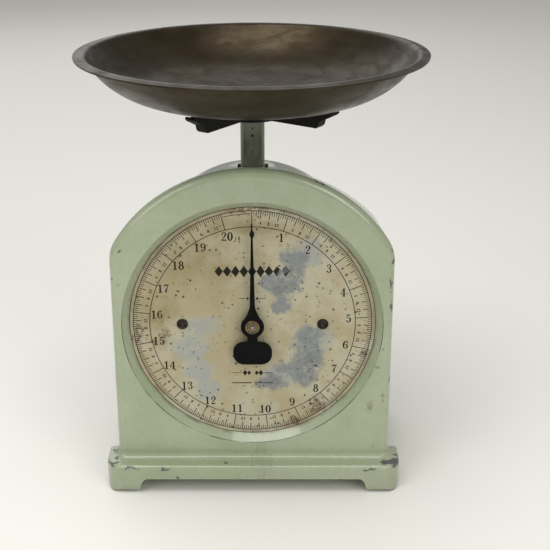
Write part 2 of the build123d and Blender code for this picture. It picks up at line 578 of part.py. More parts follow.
screw_group("crosshead_screws", CROSSHEAD_SCREWS, -CROSSHEAD_DEPTH / 2, 6.0, 3.0, -1)

with BuildPart() as rack_bracket:
    with BuildSketch(upright(-STEM_DEPTH / 2 - SHEET)):
        with Locations((0, (BRACKET_FOOT_Z + BRACKET_Z + BRACKET_T) / 2)):
            Rectangle(STEM_WIDTH - 2, BRACKET_Z + BRACKET_T - BRACKET_FOOT_Z)
        with Locations(*BRACKET_SCREWS):
            Circle(FRAME_SCREW_R + RUN, mode=Mode.SUBTRACT)
    extrude(amount=-SHEET)
    with BuildSketch(upright(PINION_Y - RACK_FACE / 2)):
        with Locations((PITCH_R + (DEDENDUM + RACK_BODY_T) / 2, BRACKET_Z + BRACKET_T / 2)):
            Rectangle(RACK_BODY_T - DEDENDUM, BRACKET_T)
    extrude(amount=-(-STEM_DEPTH / 2 - SHEET - PINION_Y + RACK_FACE / 2))
finish(rack_bracket.part, "rack_bracket")
screw_group("rack_bracket_screws", BRACKET_SCREWS, -STEM_DEPTH / 2 - SHEET, 4.0, 2.6, -1)

# ================= springs and their plugs =================


def spring_plug(x, shoulder_z, plate_t, direction):
    """Plug that fills a spring's end, with its stud and nut through a plate of thickness plate_t.

    direction is 1 when the plug stands up into the spring and -1 when it hangs down into it.
    """
    with BuildPart() as plug:
        for start, end, radius in (
            (-plate_t - PLUG_NUT_T, 0, PLUG_STUD_R),
            (-plate_t - PLUG_NUT_T, -plate_t, PLUG_STUD_R + 2),
            (0, PLUG_COLLAR_T, SPRING_R + WIRE_R),
            (PLUG_COLLAR_T, PLUG_LENGTH, SPRING_R - WIRE_R - 0.25),
        ):
            with BuildSketch(Plane((x, 0, shoulder_z), z_dir=(0, 0, direction)).offset(start)):
                Circle(radius)
            extrude(amount=end - start)
    return plug.part


def spring(label, x):
    with BuildPart() as coil:
        with BuildLine():
            turns = Helix(
                pitch=SPRING_PITCH,
                height=SPRING_HIGH_Z - SPRING_LOW_Z,
                radius=SPRING_R,
                center=(x, 0, SPRING_LOW_Z),
            )
        with BuildSketch(Plane(origin=turns @ 0, z_dir=turns % 0)):
            Circle(WIRE_R)
        sweep(is_frenet=True)
    finish(coil.part, label)


spring("spring_left", -SPRING_X)
spring("spring_right", SPRING_X)
lower_plugs = [spring_plug(side * SPRING_X, CROSSHEAD_TOP_Z, CROSSHEAD_T, 1) for side in (-1, 1)]
upper_plugs = [spring_plug(side * SPRING_X, ANCHOR_Z, ANCHOR_T, -1) for side in (-1, 1)]
finish(Compound(children=lower_plugs), "lower_spring_plugs")
finish(Compound(children=upper_plugs), "upper_spring_plugs")

# ================= zero adjustment =================
with BuildPart() as spring_anchor:
    with BuildSketch(Plane.XY.offset(ANCHOR_Z)):
        RectangleRounded(2 * SPRING_X + 18, 26, 4)
        with Locations((0, WHEEL_Y / 2 + 3)):
            RectangleRounded(20, WHEEL_Y + 6, 4)
        Rectangle(STEM_WIDTH + 3, STEM_DEPTH + 3, mode=Mode.SUBTRACT)
        with Locations((-SPRING_X, 0), (SPRING_X, 0)):
            Circle(PLUG_STUD_R + RUN, mode=Mode.SUBTRACT)
        with Locations((0, WHEEL_Y)):
            Circle(SCREW_R, mode=Mode.SUBTRACT)
    extrude(amount=ANCHOR_T)
finish(spring_anchor.part, "spring_anchor")

with BuildPart() as zero_screw:
    with BuildSketch(Plane.XY.offset(SHELF_Z - 10)):
        with Locations((0, WHEEL_Y)):
            Circle(SCREW_R)
    extrude(amount=ANCHOR_Z + ANCHOR_T + 2 - SHELF_Z + 10)
    chamfer(edges().filter_by(GeomType.CIRCLE), 0.5)
finish(zero_screw.part, "zero_screw")

with BuildPart() as zero_wheel:
    with BuildSketch(Plane.XY.offset(WHEEL_Z)):
        with Locations((0, WHEEL_Y)):
            Circle(WHEEL_R)
            Circle(SCREW_R + RUN, mode=Mode.SUBTRACT)
            with PolarLocations(WHEEL_R, WHEEL_NOTCHES):
                Circle(0.7, mode=Mode.SUBTRACT)
    extrude(amount=WHEEL_T)
finish(zero_wheel.part, "zero_wheel")

# ================= stays =================


def stay(label, pivot_z):
    """Fork with a long barrel on the fixed pivot and two slotted ears at the stem."""
    lean = degrees(atan2(TRAVEL / 2, STAY_PIVOT_Y))
    reach = hypot(TRAVEL / 2, STAY_PIVOT_Y)
    side_view = Plane(
        origin=(0, STAY_PIVOT_Y, pivot_z),
        x_dir=(0, -cos(radians(lean)), sin(radians(lean))),
        z_dir=(1, 0, 0),
    )
    with BuildPart() as link:
        with BuildSketch(side_view):
            Circle(STAY_BARREL_R)
        extrude(amount=FRAME_HALF_WIDTH - SHEET - 1, both=True)
        for side in (-1, 1):
            with BuildSketch(side_view.offset(side * STAY_EAR_X)):
                with Locations((reach / 2, 0)):
                    SlotCenterToCenter(reach, STAY_BARREL_R * 2)
                with Locations(((reach + STAY_PIVOT_Y) / 2, 0)):
                    SlotCenterToCenter(reach - STAY_PIVOT_Y + 0.8, 2 * (STAY_PIN_R + 0.3), mode=Mode.SUBTRACT)
            extrude(amount=STAY_T / 2, both=True)
        with BuildSketch(side_view):
            with Locations((reach * 0.3, 0)):
                Rectangle(reach * 0.45, STAY_T)
        extrude(amount=STAY_EAR_X, both=True)
        with BuildSketch(side_view):
            Circle(STAY_PIN_R + RUN)
        extrude(amount=FRAME_HALF_WIDTH, both=True, mode=Mode.SUBTRACT)
    finish(link.part, label)


def cross_pin(y, z, half_length):
    with BuildPart() as pin:
        with BuildSketch(Plane.YZ):
            with Locations((y, z)):
                Circle(STAY_PIN_R)
        extrude(amount=half_length, both=True)
    return pin.part


stay("upper_stay", UPPER_PIVOT_Z)
stay("lower_stay", LOWER_PIVOT_Z)
finish(
    Compound(
        children=[cross_pin(STAY_PIVOT_Y, z, FRAME_HALF_WIDTH + 1.5) for z in (UPPER_PIVOT_Z, LOWER_PIVOT_Z)]
    ),
    "stay_pivots",
)
finish(Compound(children=[cross_pin(0, z, TAIL_WIDTH / 2) for z in STAY_HEIGHTS.values()]), "stay_pins")

# ================= carrier and bowl =================


def bowl_underside(r):
    """Height of the underside of the bowl's flat middle at radius r."""
    return BOWL_Z + BOWL_BOTTOM_R - sqrt(BOWL_BOTTOM_R**2 - r**2)


with BuildPart() as carrier:
    with BuildSketch(Plane.XY.offset(STEM_TOP_Z)):
        Circle(CARRIER_DISC_R)
    extrude(amount=CARRIER_DISC_T)
    chamfer(edges().group_by(Axis.Z)[-1], 0.8)
    for quarter in range(4):
        angle = radians(45 + CARRIER_TURN + 90 * quarter)
        along = (cos(angle), sin(angle), 0)
        with BuildSketch(Plane(origin=(0, 0, 0), x_dir=along, z_dir=(sin(angle), -cos(angle), 0))):
            with BuildLine():
                Polyline(
                    (14, ARM_Z),
                    (53.0, ARM_Z),
                    (54.6, ARM_Z + 1.6),
                    (55.4, ARM_Z + 4.6),
                    (64.2, 259.6),
                    (65.6, 261.0),
                    (65.0, 262.4),
                    (60.5, 261.2),
                    (PAD_END, bowl_underside(PAD_END) - PAD_GAP),
                    (PAD_START, bowl_underside(PAD_START) - PAD_GAP),
                    (22, STEM_TOP_Z + CARRIER_DISC_T),
                    (14, STEM_TOP_Z + CARRIER_DISC_T),
                    close=True,
                )
            make_face()
        extrude(amount=ARM_WIDTH / 2, both=True)
    with BuildSketch(Plane.XY.offset(STEM_TOP_Z)):
        Circle(FRAME_SCREW_R + 0.2)
    extrude(amount=CARRIER_DISC_T, mode=Mode.SUBTRACT)
finish(carrier.part, "carrier")
finish(screw((0, 0, STEM_TOP_Z + CARRIER_DISC_T), (0, 0, -1), 8.0, 4.0), "carrier_screw")

with BuildPart() as pan:
    with BuildSketch(Plane.XZ):
        with BuildLine() as wall:
            flat = CenterArc((0, BOWL_Z + BOWL_BOTTOM_R), BOWL_BOTTOM_R, -90, BOWL_BOTTOM_ANGLE)
            side = JernArc(flat @ 1, flat % 1, BOWL_SIDE_R, BOWL_SIDE_ANGLE - BOWL_BOTTOM_ANGLE)
            lip = JernArc(side @ 1, side % 1, LIP_R, -BOWL_SIDE_ANGLE - LIP_SLOPE)
            Line(lip @ 1, lip @ 1 + LIP_LENGTH * (lip % 1))
            offset(amount=BOWL_T, side=Side.LEFT)
        make_face()
    revolve(axis=Axis.Z)
finish(pan.part, "pan")
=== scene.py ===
"""Looks of the dial kitchen scale: materials for every CAD part, and the dial's printed scale.

Metres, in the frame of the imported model: +X right, +Y back, +Z up, origin on the table under the stem.
"""
import json
from math import cos, hypot, pi, radians, sin

import bmesh
import bpy
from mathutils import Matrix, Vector


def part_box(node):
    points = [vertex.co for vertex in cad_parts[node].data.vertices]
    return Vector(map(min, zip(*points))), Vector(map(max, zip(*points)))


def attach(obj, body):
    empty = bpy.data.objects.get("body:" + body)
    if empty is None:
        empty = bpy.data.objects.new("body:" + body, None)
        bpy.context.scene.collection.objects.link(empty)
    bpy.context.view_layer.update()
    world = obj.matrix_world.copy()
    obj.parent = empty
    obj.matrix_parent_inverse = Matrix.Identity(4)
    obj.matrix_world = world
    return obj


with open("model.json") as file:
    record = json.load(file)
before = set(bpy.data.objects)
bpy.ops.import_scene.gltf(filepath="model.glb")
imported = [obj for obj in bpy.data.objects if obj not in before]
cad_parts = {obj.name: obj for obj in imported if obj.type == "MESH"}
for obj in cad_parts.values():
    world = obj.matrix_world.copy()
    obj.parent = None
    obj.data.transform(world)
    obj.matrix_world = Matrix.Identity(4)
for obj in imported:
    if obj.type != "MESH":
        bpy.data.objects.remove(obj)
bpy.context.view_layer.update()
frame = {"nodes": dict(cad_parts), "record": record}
MM = 0.001

# ---- places on the object ----
dial_low, dial_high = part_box("dial_plate")
DIAL = Vector(((dial_low.x + dial_high.x) / 2, dial_low.y, (dial_low.z + dial_high.z) / 2))
PAN_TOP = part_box("pan")[1].z                     # top of the bowl's lip
FACE_Y = -0.052                                  # front face of the casing's body
LEDGE_Z = 0.0213                                 # top of the base's ledge
BEVEL_FACE_R, BEVEL_DIAL_R = 0.0870, 0.0826      # the bevel round the dial, at the face and at the dial


# ================= node trees =================
class Paint:
    """Builds one material. Sockets are passed round as values; numbers and colours stand for constants."""

    def __init__(self, name):
        self.material = bpy.data.materials.new(name)
        self.material.use_nodes = True
        self.tree = self.material.node_tree
        self.shader = self.tree.nodes["Principled BSDF"]
        self.place = self.tree.nodes.new("ShaderNodeTexCoord").outputs["Object"]
        split = self.tree.nodes.new("ShaderNodeSeparateXYZ")
        self.tree.links.new(self.place, split.inputs[0])
        self.x, self.y, self.z = split.outputs

    def put(self, value, socket):
        if isinstance(value, bpy.types.NodeSocket):
            self.tree.links.new(value, socket)
        elif isinstance(value, tuple) and len(value) == 3 and socket.type == "RGBA":
            socket.default_value = (*value, 1.0)
        else:
            socket.default_value = value

    def math(self, operation, a, b=0.0):
        node = self.tree.nodes.new("ShaderNodeMath")
        node.operation = operation
        self.put(a, node.inputs[0])
        self.put(b, node.inputs[1])
        return node.outputs[0]

    def times(self, a, b):
        return self.math("MULTIPLY", a, b)

    def ramp(self, value, start, end, low=0.0, high=1.0):
        """Smooth step from low to high as value goes from start to end."""
        node = self.tree.nodes.new("ShaderNodeMapRange")
        node.interpolation_type = "SMOOTHSTEP"
        for setting, socket in zip((value, start, end, low, high), node.inputs):
            self.put(setting, socket)
        return node.outputs[0]

    def noise(self, size, detail=3.0, roughness=0.5, stretch=(1, 1, 1), warp=0.0):
        """Noise from 0 to 1 whose blobs are about size metres across."""
        scale = self.tree.nodes.new("ShaderNodeMapping")
        scale.inputs["Scale"].default_value = stretch
        self.tree.links.new(self.place, scale.inputs["Vector"])
        node = self.tree.nodes.new("ShaderNodeTexNoise")
        node.inputs["Scale"].default_value = 1 / size
        node.inputs["Detail"].default_value = detail
        node.inputs["Roughness"].default_value = roughness
        node.inputs["Distortion"].default_value = warp
        self.tree.links.new(scale.outputs[0], node.inputs["Vector"])
        return node.outputs[0]

    def specks(self, size, share, softness=0.12):
        """Scattered small spots: 1 inside a spot. share is the radius of a spot within its cell."""
        node = self.tree.nodes.new("ShaderNodeTexVoronoi")
        node.inputs["Scale"].default_value = 1 / size
        self.tree.links.new(self.place, node.inputs["Vector"])
        spot = self.ramp(node.outputs["Distance"], share, share + softness, 1.0, 0.0)
        tone = self.tree.nodes.new("ShaderNodeSeparateColor")
        self.tree.links.new(node.outputs["Color"], tone.inputs[0])
        return self.times(spot, self.ramp(tone.outputs[0], 0.45, 0.6))

    def mix(self, factor, a, b):
        """a where factor is 0, b where it is 1."""
        node = self.tree.nodes.new("ShaderNodeMix")
        node.data_type = "RGBA"
        self.put(factor, node.inputs["Factor"])
        self.put(a, node.inputs["A"])
        self.put(b, node.inputs["B"])
        return node.outputs["Result"]

    def ragged(self, reach, size):
        """The place, pushed about by noise, so that what is drawn with it gets a ragged outline."""
        noise = self.tree.nodes.new("ShaderNodeTexNoise")
        noise.inputs["Scale"].default_value = 1 / size
        noise.inputs["Detail"].default_value = 5.0
        noise.inputs["Roughness"].default_value = 0.62
        self.tree.links.new(self.place, noise.inputs["Vector"])
        push = self.tree.nodes.new("ShaderNodeVectorMath")
        push.operation = "MULTIPLY_ADD"
        self.tree.links.new(noise.outputs["Color"], push.inputs[0])
        push.inputs[1].default_value = (reach, reach, reach)
        push.inputs[2].default_value = (-reach / 2, -reach / 2, -reach / 2)
        moved = self.tree.nodes.new("ShaderNodeVectorMath")
        moved.operation = "ADD"
        self.tree.links.new(self.place, moved.inputs[0])
        self.tree.links.new(push.outputs[0], moved.inputs[1])
        return moved.outputs[0]

    def spot(self, centre, size, edge, place):
        """1 near a point, falling smoothly to 0 at size, a reach for each axis.

        edge is the share of the reach that it falls over, and place is where the surface is taken to be.
        """
        node = self.tree.nodes.new("ShaderNodeMapping")
        node.inputs["Scale"].default_value = [1 / s for s in size]
        node.inputs["Location"].default_value = [-c / s for c, s in zip(centre, size)]
        self.tree.links.new(place, node.inputs["Vector"])
        length = self.tree.nodes.new("ShaderNodeVectorMath")
        length.operation = "LENGTH"
        self.tree.links.new(node.outputs[0], length.inputs[0])
        return self.ramp(length.outputs["Value"], 1.0 - edge, 1.0, 1.0, 0.0)

    def highest(self, values):
        top = values[0]
        for value in values[1:]:
            top = self.math("MAXIMUM", top, value)
        return top

    def ring(self, centre, radius, half_width, fade):
        """1 on a circle about the Y direction round centre, falling to 0 beyond half_width."""
        dx = self.math("SUBTRACT", self.x, centre.x)
        dz = self.math("SUBTRACT", self.z, centre.z)
        squares = self.math("ADD", self.times(dx, dx), self.times(dz, dz))
        distance = self.math("SQRT", squares)
        off = self.math("ABSOLUTE", self.math("SUBTRACT", distance, radius))
        return self.ramp(off, half_width, half_width + fade, 1.0, 0.0)

    def finish(self, colour, roughness, metallic=0.0, bump=None, bump_depth=0.0):
        self.put(colour, self.shader.inputs["Base Color"])
        self.put(roughness, self.shader.inputs["Roughness"])
        self.put(metallic, self.shader.inputs["Metallic"])
        if bump is not None:
            node = self.tree.nodes.new("ShaderNodeBump")
            node.inputs["Strength"].default_value = 1.0
            node.inputs["Distance"].default_value = bump_depth
            self.put(bump, node.inputs["Height"])
            self.tree.links.new(node.outputs[0], self.shader.inputs["Normal"])
        return self.material


# ================= materials =================
ENAMEL = (0.288, 0.343, 0.212)
ENAMEL_PALE = (0.338, 0.382, 0.256)
ENAMEL_GRIME = (0.255, 0.27, 0.165)
ENAMEL_MOTTLE = (0.44, 0.47, 0.36)
LOW_DARKENING = (0.25, 0.27, 0.18)
DRIP_EDGE = (0.15, 0.17, 0.10)
BEVEL_DIRT = (0.03, 0.035, 0.02)
BEVEL_HAZE = (0.085, 0.048, 0.022)
SOLE = (0.05, 0.05, 0.045)
RUST_MARK = (0.13, 0.092, 0.038)
ENAMEL_SPECK = (0.06, 0.055, 0.035)
CHIP_RIM = (0.075, 0.075, 0.05)
BARE_IRON = (0.075, 0.080, 0.085)
RUST = (0.10, 0.055, 0.028)

# where the enamel has chipped: centre of the spot and its reach, in metres
CHIPS = (
    ((0.0980, -0.0580, 0.0195), (0.0075, 0.0075, 0.0035)),
    ((0.0920, -0.0590, 0.0213), (0.0065, 0.005, 0.003)),
    ((0.0995, -0.0500, 0.0205), (0.004, 0.006, 0.002)),
    ((-0.1000, -0.0560, 0.0197), (0.0030, 0.006, 0.0016)),
    ((-0.0960, -0.0600, 0.0197), (0.0050, 0.004, 0.0012)),
    ((-0.0945, -0.0540, 0.0213), (0.0028, 0.0028, 0.002)),
    ((-0.0970, -0.0440, 0.0213), (0.0030, 0.0032, 0.002)),
    ((-0.0850, -0.0651, 0.0193), (0.010, 0.003, 0.0009)),
    ((-0.0600, -0.0651, 0.0190), (0.005, 0.003, 0.0008)),
    ((0.0800, -0.0651, 0.0190), (0.008, 0.003, 0.0008)),
    ((0.0600, -0.0651, 0.0120), (0.003, 0.003, 0.0015)),
    ((-0.0520, -0.0651, 0.0130), (0.0025, 0.003, 0.0015)),
    ((-0.0190, -0.0600, 0.0213), (0.0025, 0.002, 0.002)),
    ((0.0930, -0.0490, 0.1660), (0.003, 0.004, 0.0035)),
    ((0.0910, -0.0505, 0.1740), (0.0015, 0.003, 0.0015)),
    ((0.0925, -0.0505, 0.1340), (0.0020, 0.003, 0.0050)),
    ((0.0915, -0.0515, 0.1500), (0.0007, 0.002, 0.0090)),
    ((0.0930, -0.0500, 0.0800), (0.0014, 0.003, 0.0030)),
    ((-0.0930, -0.0490, 0.1630), (0.0022, 0.004, 0.0022)),
    ((-0.0915, -0.0510, 0.1530), (0.0012, 0.003, 0.0016)),
    ((-0.0860, -0.0510, 0.1740), (0.0012, 0.003, 0.0016)),
    ((0.0440, -0.0470, 0.2190), (0.0060, 0.003, 0.0016)),
    ((0.0220, -0.0480, 0.2270), (0.0050, 0.003, 0.0010)),
    ((-0.0330, -0.0480, 0.2245), (0.0030, 0.003, 0.0012)),
    ((0.0980, 0.0600, 0.0195), (0.006, 0.006, 0.003)),
    ((-0.0960, 0.0620, 0.0195), (0.006, 0.004, 0.002)),
    ((0.0930, 0.0515, 0.1350), (0.002, 0.002, 0.007)),
    ((-0.0600, 0.0515, 0.1840), (0.008, 0.002, 0.003)),
    ((0.0120, -0.0080, 0.2160), (0.004, 0.003, 0.002)),
    ((-0.0120, 0.0080, 0.2160), (0.004, 0.004, 0.002)),
)
# brown rust marks on the enamel
STAINS = (
    ((0.0795, -0.0520, 0.0600), (0.0035, 0.004, 0.0060)),
    ((0.0880, -0.0520, 0.0676), (0.0018, 0.004, 0.0045)),
    ((0.0840, -0.0520, 0.0910), (0.0015, 0.004, 0.0015)),
    ((0.0875, -0.0520, 0.1040), (0.0013, 0.004, 0.0013)),
    ((-0.0880, -0.0520, 0.1500), (0.0015, 0.004, 0.0020)),
    ((0.0820, -0.0520, 0.0300), (0.0020, 0.004, 0.0015)),
)
DRIP_X, DRIP_HALF_WIDTH, DRIP_TOP = 0.0054, 0.0024, 0.033   # an old drip below the dial


def drip(p):
    """The outline of a dried drip that ran from the dial's bevel over the ledge."""
    wobble = p.ramp(p.noise(0.008, 3.0), 0.3, 0.7, -0.0012, 0.0012)
    off = p.math("ABSOLUTE", p.math("SUBTRACT", p.math("SUBTRACT", p.x, DRIP_X), wobble))
    spread = p.ramp(p.math("ABSOLUTE", p.math("SUBTRACT", p.z, LEDGE_Z)), 0.001, 0.004, 0.0035, 0.0)
    off = p.math("SUBTRACT", off, spread)
    edge = p.ramp(p.math("ABSOLUTE", p.math("SUBTRACT", off, DRIP_HALF_WIDTH)), 0.0001, 0.0006, 1.0, 0.0)
    inside = p.ramp(off, DRIP_HALF_WIDTH - 0.0004, DRIP_HALF_WIDTH, 0.30, 0.0)
    below = p.ramp(p.z, DRIP_TOP, DRIP_TOP - 0.001)
    front = p.ramp(p.y, FACE_Y + 0.007, FACE_Y + 0.002)
    return p.times(p.math("MAXIMUM", edge, inside), p.times(below, front))


def bevel_line(p):
    """Dirt in the line where the dial's bevel meets the face, mostly in its lower half."""
    line = p.ring(DIAL, BEVEL_FACE_R, 0.00012, 0.00022)
    line = p.times(line, p.ramp(p.noise(0.020, 3.0), 0.38, 0.52, 0.20, 1.0))
    line = p.times(line, p.ramp(p.z, DIAL.z + 0.03, DIAL.z - 0.01, 0.25, 1.0))
    return p.times(line, p.ramp(p.y, FACE_Y + 0.0015, FACE_Y + 0.0005))


def bevel_haze(p):
    """Brown haze where the bevel meets the dial: behind the front face, and not on the back cover."""
    haze = p.ring(DIAL, BEVEL_DIAL_R, 0.0003, 0.0012)
    haze = p.times(haze, p.ramp(p.noise(0.016, 4.0), 0.42, 0.66, 0.25, 1.0))
    haze = p.times(haze, p.ramp(p.y, FACE_Y + 0.0015, FACE_Y + 0.0025))
    return p.times(haze, p.ramp(p.y, FACE_Y + 0.012, FACE_Y + 0.010))


def enamel(name):
    """Pale green gloss enamel over iron, chipped at the corners, grimy in places and darker towards the
    bottom.
    """
    p = Paint(name)
    colour = p.mix(p.ramp(p.noise(0.055, 4.0, 0.55), 0.36, 0.66), ENAMEL, ENAMEL_PALE)
    cloud = p.noise(0.018, 5.0, 0.6)
    colour = p.mix(p.ramp(cloud, 0.54, 0.80, 0.0, 0.26), colour, ENAMEL_GRIME)
    colour = p.mix(p.ramp(p.noise(0.004, 3.0, 0.6), 0.40, 0.62, 0.10, 0.0), colour, ENAMEL_MOTTLE)
    # darker towards the bottom: mottled darkening below 40 mm
    low = p.times(p.ramp(p.z, 0.040, 0.005), p.ramp(cloud, 0.35, 0.65, 0.15, 0.45))
    colour = p.mix(low, colour, LOW_DARKENING)
    colour = p.mix(p.times(drip(p), 0.42), colour, DRIP_EDGE)
    colour = p.mix(p.times(bevel_line(p), 0.9), colour, BEVEL_DIRT)
    colour = p.mix(p.times(bevel_haze(p), 0.6), colour, BEVEL_HAZE)
    # the feet are darkened almost to black within 2 mm of the floor
    colour = p.mix(p.ramp(p.z, 0.0006, 0.0018, 0.85, 0.0), colour, SOLE)
    # rust marks
    grain = p.noise(0.0022, 5.0, 0.65)
    rusty = p.ragged(0.008, 0.004)
    marks = p.highest([p.spot(centre, reach, 0.7, rusty) for centre, reach in STAINS])
    marks = p.times(marks, p.ramp(grain, 0.36, 0.56))
    colour = p.mix(p.times(marks, 0.75), colour, RUST_MARK)
    # small dark specks
    dots = p.times(p.specks(0.012, 0.030, 0.03), p.ramp(p.noise(0.03), 0.5, 0.6))
    colour = p.mix(p.times(dots, 0.8), colour, ENAMEL_SPECK)
    # chips down to the iron, each with a dark rim
    torn = p.ragged(0.010, 0.005)
    depth = p.highest([p.spot(centre, reach, 0.9, torn) for centre, reach in CHIPS])
    depth = p.math("ADD", depth, p.times(p.math("SUBTRACT", grain, 0.5), 0.5))
    chipped = p.ramp(depth, 0.34, 0.40)
    colour = p.mix(p.times(p.ramp(depth, 0.26, 0.34), 0.8), colour, CHIP_RIM)
    iron = p.mix(p.ramp(p.noise(0.002), 0.50, 0.70), BARE_IRON, RUST)
    colour = p.mix(chipped, colour, iron)
    rough = p.ramp(cloud, 0.35, 0.75, 0.22, 0.40)
    rough = p.math("MAXIMUM", rough, p.times(chipped, 0.6))
    relief = p.math("SUBTRACT", p.times(p.noise(0.009, 2.0), 0.5), p.times(chipped, 0.7))
    p.shader.inputs["Coat Weight"].default_value = 0.60
    p.shader.inputs["Coat Roughness"].default_value = 0.07
    return p.finish(colour, rough, 0.0, relief, 0.00022)


CREAM = (0.375, 0.325, 0.195)
CREAM_PALE = (0.43, 0.405, 0.29)
CREAM_TAN = (0.255, 0.205, 0.092)
FADED = (0.305, 0.330, 0.315)
BARE = (0.180, 0.200, 0.205)
BARE_CORE = (0.105, 0.118, 0.118)
BROWN_STAIN = (0.095, 0.045, 0.018)
FRECKLE = (0.15, 0.105, 0.045)
DARK_SPECK = (0.028, 0.02, 0.010)
BLOT = (0.030, 0.022, 0.012)
# colour of the painted shadow in the gap where the dial runs behind the casing
PAINTED_GAP_SHADOW = (0.012, 0.009, 0.006)
INK_BLACK = (0.006, 0.005, 0.004)
INK_BROWN = (0.020, 0.015, 0.010)

# places on the dial, in mm from its centre; each is a centre and a reach.
# where the print has worn to grey metal, where that is darkest, and where the print has only faded
WORN = (
    ((26, 47), (11, 9)), ((27, 38), (11, 11)), ((19, 27), (14, 11)), ((20, 13), (9, 10)),
    ((11, 31), (8, 8)), ((38, -10), (13, 11)), ((38, -24), (15, 15)), ((35, -38), (12, 11)),
    ((25, -33), (12, 9)), ((12, -44), (12, 7)),
)
WORN_CORES = (
    ((25, 39), (7, 6)), ((19, 25), (8, 6)), ((39, -26), (8, 8)), ((35, -39), (6, 6)), ((12, -44), (8, 4)),
)
FADED_PLACES = (
    ((-34, -2), (15, 10)), ((-42, -18), (18, 13)), ((-36, -34), (13, 13)), ((-32, -48), (10, 13)),
    ((36, 50), (14, 12)), ((40, -14), (18, 18)), ((20, -38), (20, 10)),
)
# where the cream has gone tan, where rust creeps in from the rim, and where dark blots gather
TAN_PLACES = (((-38, 45), (52, 40)), ((-66, 8), (22, 34)), ((-6, 0), (16, 36)), ((-8, 68), (60, 14)))
RUSTY_PLACES = (
    ((44, -62), (12, 9)), ((28, -73), (7, 5)), ((-77, -8), (4, 14)), ((77, -22), (5, 6)),
    ((-60, -10), (6, 5)), ((-66, -12), (3, 3)), ((0, 81), (40, 4)),
)
BLOT_PLACES = (((30, 6), (40, 22)), ((-20, -12), (34, 22)))
RIM_R, GAP_SHADOW_R = 0.0815, 0.0825                    # the dial's rusty rim, and the painted shadow in the gap outside it


def from_dial(x, z):
    """A point on the dial's face, from a place on the dial in millimetres."""
    return (DIAL.x + x * MM, DIAL.y, DIAL.z + z * MM)


def dial_spots(p, places, edge, pushed):
    """1 near any of the places on the dial. pushed is the ragged place that gives them their outline."""
    spots = []
    for (x, z), (reach_x, reach_z) in places:
        spots.append(p.spot(from_dial(x, z), (reach_x * MM, 1.0, reach_z * MM), edge, pushed))
    return p.highest(spots)


def dial_colour(p):
    """Aged cream print with worn grey patches, brown stains and specks. Returns its colour and the wear."""
    broad = p.noise(0.030, 5.0, 0.6)
    fine = p.noise(0.0030, 5.0, 0.65)
    colour = p.mix(p.ramp(broad, 0.38, 0.60), CREAM, CREAM_PALE)
    drift = p.ragged(0.045, 0.030)
    torn = p.ragged(0.024, 0.011)
    tan = dial_spots(p, TAN_PLACES, 0.9, drift)
    tan = p.times(tan, p.ramp(p.noise(0.012, 5.0, 0.6), 0.30, 0.60, 0.45, 1.0))
    colour = p.mix(p.times(tan, 0.85), colour, CREAM_TAN)
    faded = p.times(dial_spots(p, FADED_PLACES, 0.55, torn), p.ramp(fine, 0.30, 0.55, 0.5, 1.0))
    colour = p.mix(p.times(faded, 0.85), colour, FADED)
    worn = dial_spots(p, WORN, 0.45, torn)
    worn = p.times(worn, p.ramp(fine, 0.30, 0.52, 0.45, 1.0))
    cores = dial_spots(p, WORN_CORES, 0.9, torn)
    cores = p.times(cores, p.ramp(p.noise(0.0022, 5.0, 0.7), 0.40, 0.58))
    bare = p.mix(p.times(cores, 0.9), BARE, BARE_CORE)
    bare = p.mix(p.ramp(p.noise(0.0016, 3.0), 0.56, 0.70, 0.0, 0.5), bare, FADED)
    colour = p.mix(p.times(worn, 0.92), colour, bare)
    # rust creeping in from the rim, worst low on the right and on the left
    rim = p.ring(DIAL, RIM_R, 0.0006, 0.0016)
    rim = p.times(rim, p.ramp(p.noise(0.022, 4.0, 0.6), 0.44, 0.66, 0.05, 0.6))
    creep = dial_spots(p, RUSTY_PLACES, 0.8, torn)
    creep = p.times(creep, p.ramp(p.noise(0.0024, 5.0, 0.65), 0.36, 0.54))
    colour = p.mix(p.times(p.math("MAXIMUM", rim, creep), 0.8), colour, BROWN_STAIN)
    # foxing: soft brown freckles and small dark specks of several sizes
    freckles = p.times(p.specks(0.0050, 0.12, 0.20), p.ramp(p.noise(0.020), 0.48, 0.62))
    colour = p.mix(p.times(freckles, 0.35), colour, FRECKLE)
    for size, share, cluster in ((0.0090, 0.075, 0.010), (0.0045, 0.15, 0.014), (0.0026, 0.20, 0.009)):
        dots = p.times(p.specks(size, share, 0.06), p.ramp(p.noise(cluster), 0.50, 0.58))
        colour = p.mix(p.times(dots, 0.9), colour, DARK_SPECK)
    # larger dark blots, mostly on either side of the pointer's hub
    blots = p.ramp(p.noise(0.0042, 4.0, 0.55), 0.655, 0.685)
    blots = p.times(blots, dial_spots(p, BLOT_PLACES, 0.8, drift))
    colour = p.mix(p.times(blots, 0.85), colour, BLOT)
    # painted shadow: a near-black ring where the plate runs behind the casing, standing for the shade in that
    # gap
    gap_shadow = p.ring(DIAL, GAP_SHADOW_R, 0.0004, 0.0002)
    colour = p.mix(p.times(gap_shadow, 0.95), colour, PAINTED_GAP_SHADOW)
    return colour, worn


def dial_material():
    """The dial's aged print, a little glossier where it is worn."""
    p = Paint("dial_face")
    colour, worn = dial_colour(p)
    rough = p.math("ADD", 0.42, p.times(worn, -0.06))
    return p.finish(colour, rough, 0.0, p.noise(0.002, 4.0), 0.00005)


def ink_material():
    """The dial's black print, thin and broken where the dial is worn."""
    p = Paint("dial_ink")
    under, worn = dial_colour(p)
    lost = p.math("ADD", p.times(worn, 0.22), p.noise(0.0028, 4.0, 0.6))
    lost = p.ramp(lost, 0.64, 0.80, 0.0, 0.80)
    ink = p.mix(p.noise(0.002), INK_BLACK, INK_BROWN)
    p.shader.inputs["Specular IOR Level"].default_value = 0.2
    return p.finish(p.mix(lost, ink, under), 0.55)


